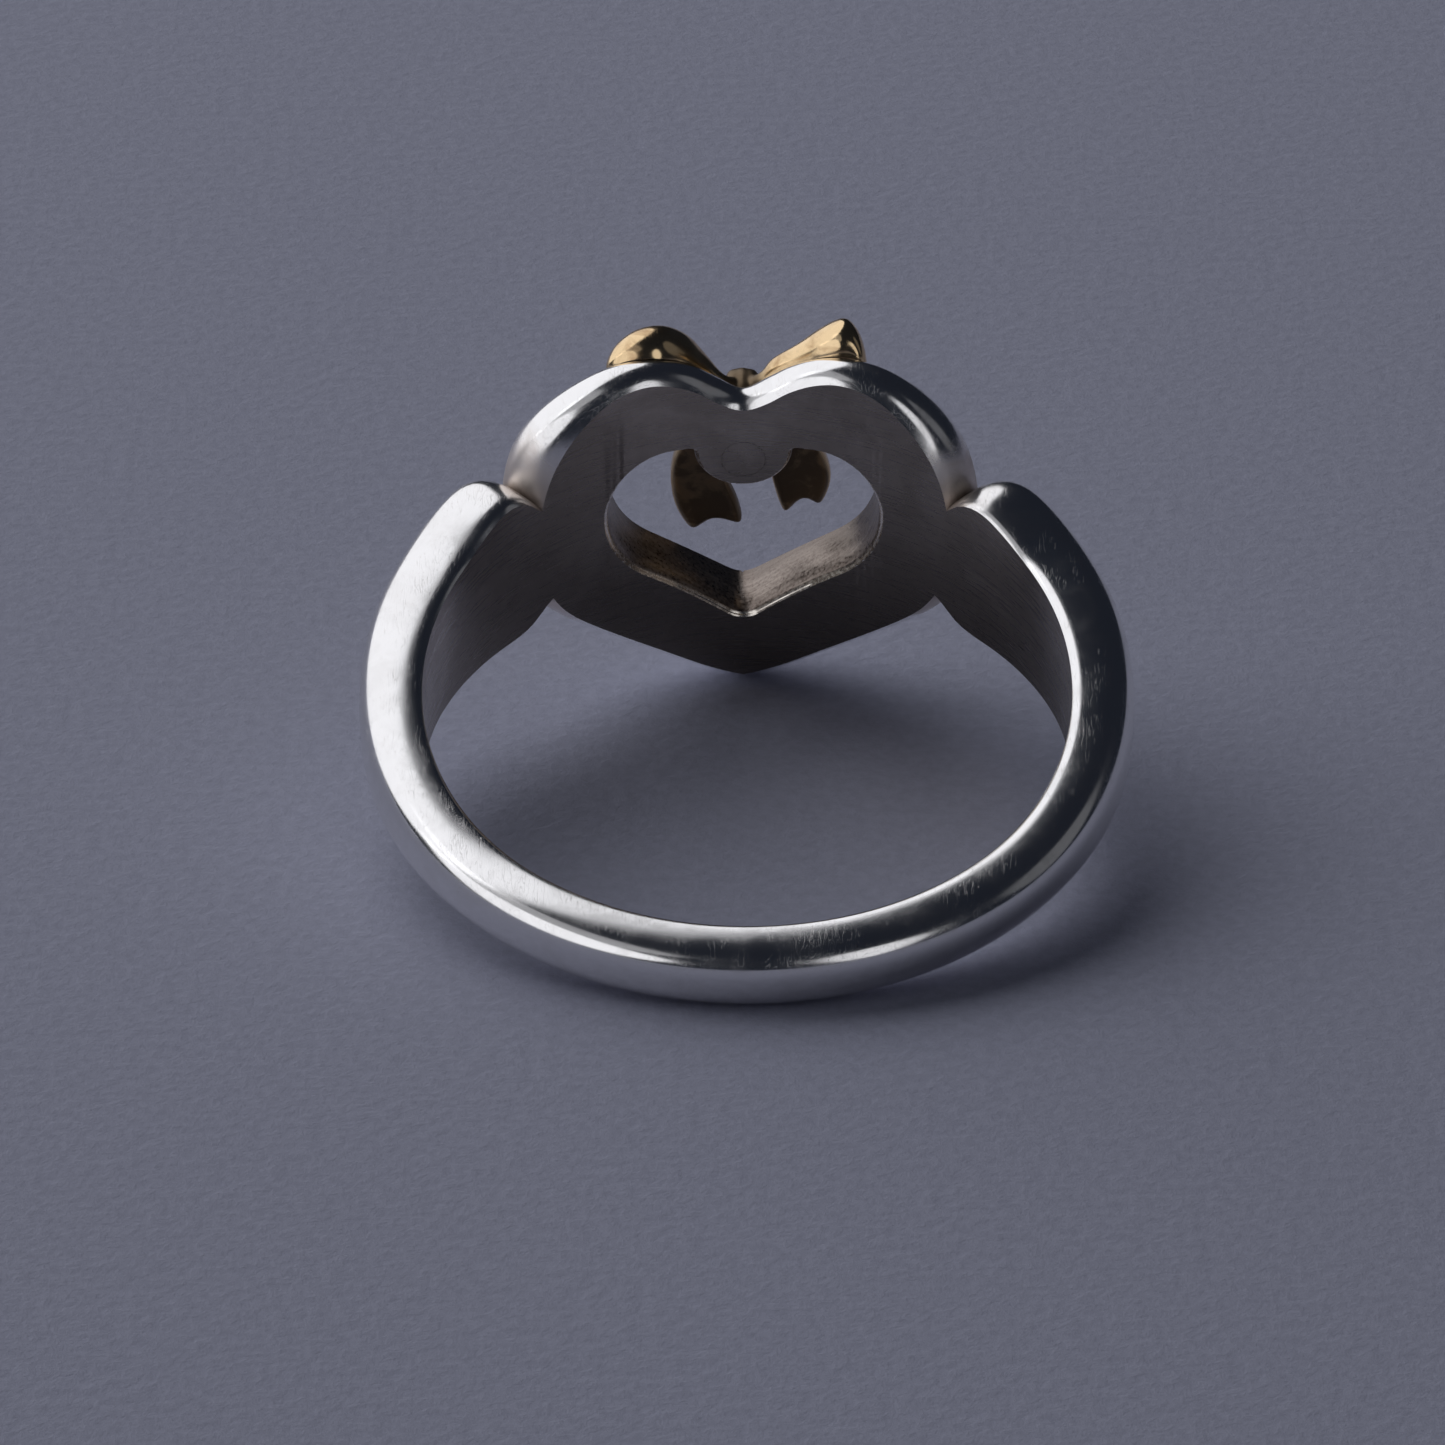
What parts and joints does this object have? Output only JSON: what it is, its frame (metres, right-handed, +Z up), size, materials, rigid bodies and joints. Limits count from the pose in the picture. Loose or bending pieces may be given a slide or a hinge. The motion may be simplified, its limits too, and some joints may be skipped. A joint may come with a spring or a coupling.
{
  "type": "heart ring",
  "caption": "Finger ring lying on its side, with an open puffed heart for its head and a small ribbon bow over the heart's notch.",
  "frame": {"origin": "on the table, under the middle of the ring's bounding box as it lies", "axes": "+Z up, +Y towards the heart, +X to the right as seen from the back of the shank"},
  "size_m": [0.0198, 0.0208, 0.0112],
  "materials": {
    "silver": "worn polished sterling silver",
    "gold": "worn polished 18 carat gold"
  },
  "bodies": {
    "root": {"ring_body": "silver", "gold_bow": "gold", "bow_rivet": "silver"}
  },
  "joints": []
}
